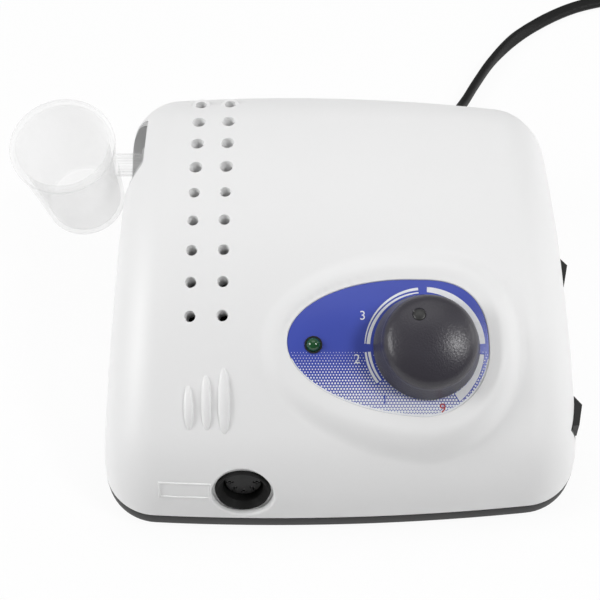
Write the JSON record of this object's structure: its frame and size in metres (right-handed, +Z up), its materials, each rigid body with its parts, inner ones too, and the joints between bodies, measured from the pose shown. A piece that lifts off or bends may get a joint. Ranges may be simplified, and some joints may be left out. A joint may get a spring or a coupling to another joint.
{
  "type": "nail drill control box",
  "caption": "Bench control box for a nail drill: soft white housing, dark base tray, speed knob on an egg-shaped panel, motor socket, side rockers, swivelling bit cup and mains lead.",
  "frame": {"origin": "on the table, under the middle of the box with its cup, switches and fuse cap, without the lead", "axes": "+X to the right of the user who faces the dial, +Y to the rear, +Z up"},
  "size_m": [0.348, 0.3885, 0.0753],
  "materials": {
    "white_plastic": "satin moulded plastic with a fine grain",
    "grey_plastic": "satin dark grey plastic",
    "light_grey_plastic": "satin light grey plastic",
    "rubber": "matte",
    "steel": "zinc plated",
    "aluminium": "plain",
    "blue_panel": "printed film, blue with a dotted fade",
    "black_plastic": "semi gloss",
    "black_matte": "matte",
    "green_lens": "dark green lens, unlit",
    "knob_plastic": "satin dark grey with a fine grain",
    "knob_dot": "gloss",
    "contacts": "plated",
    "clear_plastic": "clear, slightly frosted",
    "core_steel": "varnished laminations",
    "winding": "enamelled copper wire",
    "board": "solder mask",
    "cord_rubber": "black soft vinyl",
    "plug_metal": "nickel plated"
  },
  "bodies": {
    "case": {"upper_housing": "white_plastic", "base_tray": "grey_plastic", "rubber_feet": "rubber", "case_screws": "steel", "dial_panel": "blue_panel", "led_collar": "black_plastic", "indicator_led": "green_lens", "potentiometer_body": "steel", "potentiometer_nut": "steel", "motor_socket_shell": "black_plastic", "motor_socket_insert": "black_matte", "motor_socket_contacts": "contacts", "motor_socket_nut": "steel", "power_switch_frame": "black_plastic", "power_switch_terminals": "contacts", "direction_switch_frame": "black_plastic", "direction_switch_terminals": "contacts", "cup_socket": "light_grey_plastic", "transformer_core": "core_steel", "transformer_winding": "winding", "transformer_bracket": "steel", "transformer_screws": "steel", "circuit_board": "board", "board_screws": "steel", "board_capacitors": "black_plastic", "heat_sink": "aluminium", "power_transistors": "black_matte", "board_connectors": "white_plastic", "fuse_holder": "black_plastic", "fuse_cap": "black_plastic", "fuse_nut": "black_plastic", "pedal_jack": "black_plastic", "pedal_jack_nut": "steel", "cord_gland": "cord_rubber", "mains_cord": "cord_rubber", "cord_coil": "cord_rubber", "cord_tie": "cord_rubber", "mains_plug": "cord_rubber", "plug_pins": "plug_metal"},
    "knob": {"speed_knob": "knob_plastic", "knob_pointer": "knob_dot", "potentiometer_shaft": "aluminium"},
    "power_rocker": {"power_rocker": "black_plastic"},
    "direction_rocker": {"direction_rocker": "black_plastic"},
    "cup": {"bit_cup": "clear_plastic"}
  },
  "joints": [
    {"name": "knob_turn", "type": "hinge", "parent": "case", "child": "knob", "pos_m": [0.04277, -0.04082, 0.05408], "axis": [0, -0.4067, 0.9135], "range_deg": [-185, 115]},
    {"name": "power_rock", "type": "hinge", "parent": "case", "child": "power_rocker", "pos_m": [0.08845, -0.00182, 0.04102], "axis": [-0.0872, 0, 0.9962], "range_deg": [-16, 0]},
    {"name": "direction_rock", "type": "hinge", "parent": "case", "child": "direction_rocker", "pos_m": [0.09007, -0.04682, 0.02252], "axis": [-0.0872, 0, 0.9962], "range_deg": [-16, 0]},
    {"name": "cup_swivel", "type": "hinge", "parent": "case", "child": "cup", "pos_m": [-0.07963, 0.03768, 0.056], "axis": [1, 0, 0], "range_deg": [-60, 55]}
  ]
}
